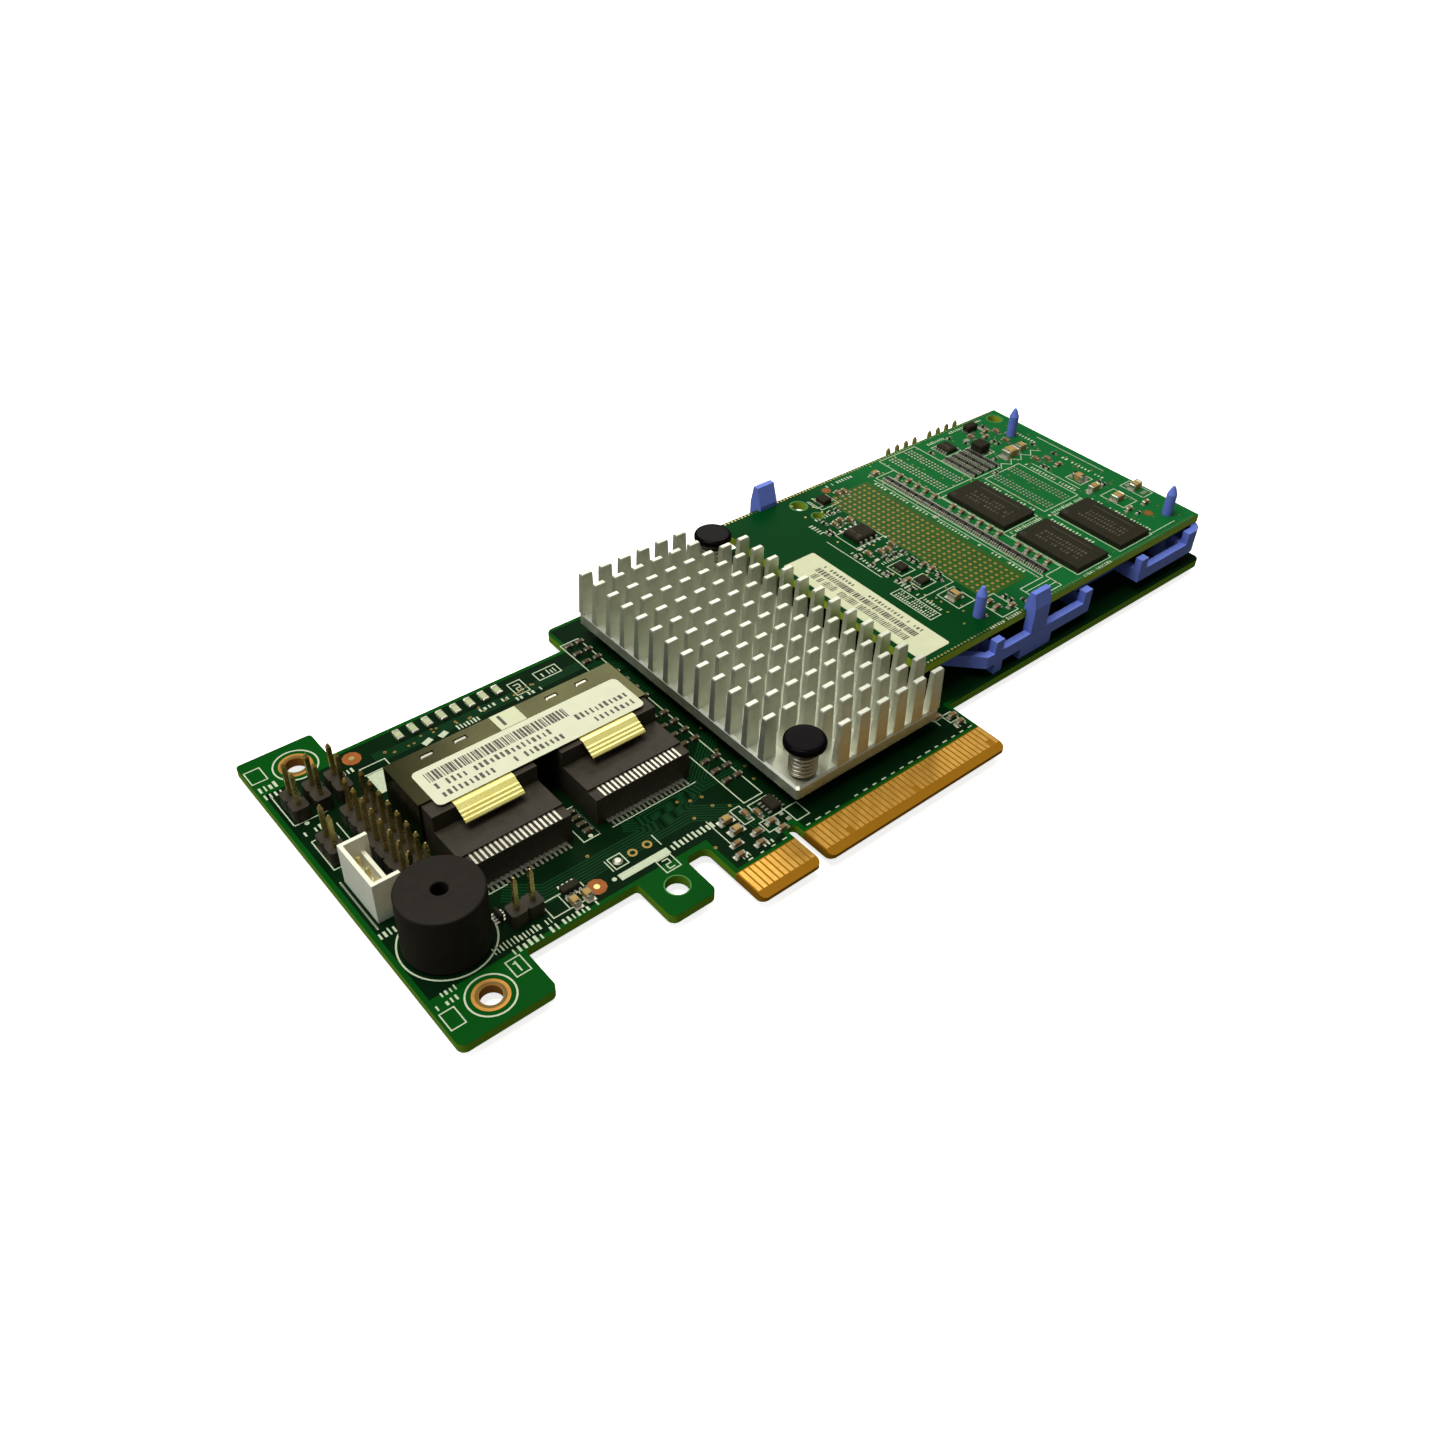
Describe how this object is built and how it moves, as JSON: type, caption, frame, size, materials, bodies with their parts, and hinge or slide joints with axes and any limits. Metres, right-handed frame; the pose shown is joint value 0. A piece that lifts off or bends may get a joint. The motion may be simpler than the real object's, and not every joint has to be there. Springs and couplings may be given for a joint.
{
  "type": "raid controller card",
  "caption": "Low-profile storage controller card with a pin-fin heatsink, two cable sockets, pin headers and a memory daughter board clipped on a plastic carrier.",
  "frame": {"origin": "centre of the lower bracket hole, on the component side of the main board", "axes": "+X along the card away from the bracket edge, +Y from the edge connector to the top edge, +Z out of the component side"},
  "size_m": [0.1676, 0.0689, 0.0175],
  "materials": {
    "board_mask": "semi-gloss green solder mask over glass-fibre laminate",
    "gold_contacts": "gold-plated copper",
    "bare_copper_rings": "tinned copper pads",
    "chip_package": "matt moulding compound",
    "thermal_pad": "soft grey pad",
    "heatsink_metal": "satin, as extruded and sawn",
    "push_pin_plastic": "black nylon",
    "spring_steel": "bright drawn wire",
    "shell_metal": "nickel-plated sheet",
    "black_plastic": "black moulding",
    "latch_gold": "gold-coloured spring strip",
    "label_cream": "paper label, bare",
    "label_white": "paper label, bare",
    "white_plastic": "off-white nylon",
    "pin_metal": "gold-flashed square post",
    "tinned_metal": "tinned",
    "lamp_plastic": "translucent resin",
    "blue_plastic": "blue nylon",
    "capacitor_ceramic": "brown ceramic with tinned ends",
    "tan_capacitor": "tan resin",
    "resistor_dark": "black glaze with tinned ends"
  },
  "bodies": {
    "root": {"board_connector_lower": "black_plastic", "board_connector_upper": "black_plastic", "bracket_hole_lands": "bare_copper_rings", "buzzer_case": "black_plastic", "buzzer_pins": "tinned_metal", "cable_latch_leaf_1": "latch_gold", "cable_latch_leaf_2": "latch_gold", "cable_socket_contacts_1": "gold_contacts", "cable_socket_contacts_2": "gold_contacts", "cable_socket_housing_1": "black_plastic", "cable_socket_housing_2": "black_plastic", "cable_socket_shell_1": "shell_metal", "cable_socket_shell_2": "shell_metal", "cache_capacitors": "capacitor_ceramic", "cache_carrier": "blue_plastic", "cache_chip_legs": "tinned_metal", "cache_circuit_board": "board_mask", "cache_label": "label_white", "cache_power_parts": "resistor_dark", "cache_resistor_arrays": "resistor_dark", "cache_tan_capacitors": "tan_capacitor", "clock_chip": "chip_package", "controller_chip": "chip_package", "edge_contacts_back": "gold_contacts", "edge_contacts_front": "gold_contacts", "far_pin_header_1_base": "black_plastic", "far_pin_header_1_pins": "pin_metal", "far_pin_header_2_base": "black_plastic", "far_pin_header_2_pins": "pin_metal", "gap_tape": "label_white", "heatsink": "heatsink_metal", "heatsink_push_pin_far": "push_pin_plastic", "heatsink_push_pin_near": "push_pin_plastic", "heatsink_spring_far": "spring_steel", "heatsink_spring_near": "spring_steel", "long_pin_header_base": "black_plastic", "long_pin_header_pins": "pin_metal", "low_pin_header_base": "black_plastic", "low_pin_header_pins": "pin_metal", "main_board_capacitors": "capacitor_ceramic", "main_board_small_chips": "chip_package", "main_board_tan_capacitors": "tan_capacitor", "main_circuit_board": "board_mask", "memory_chip_1": "chip_package", "memory_chip_2": "chip_package", "memory_chip_3": "chip_package", "memory_switch_chip": "chip_package", "side_pin_header_base": "black_plastic", "side_pin_header_pins": "pin_metal", "socket_label": "label_cream", "status_lamps": "lamp_plastic", "thermal_pad": "thermal_pad", "top_pin_headers_base": "black_plastic", "top_pin_headers_pins": "pin_metal", "wire_socket_body": "white_plastic", "wire_socket_pins": "tinned_metal"}
  },
  "joints": []
}
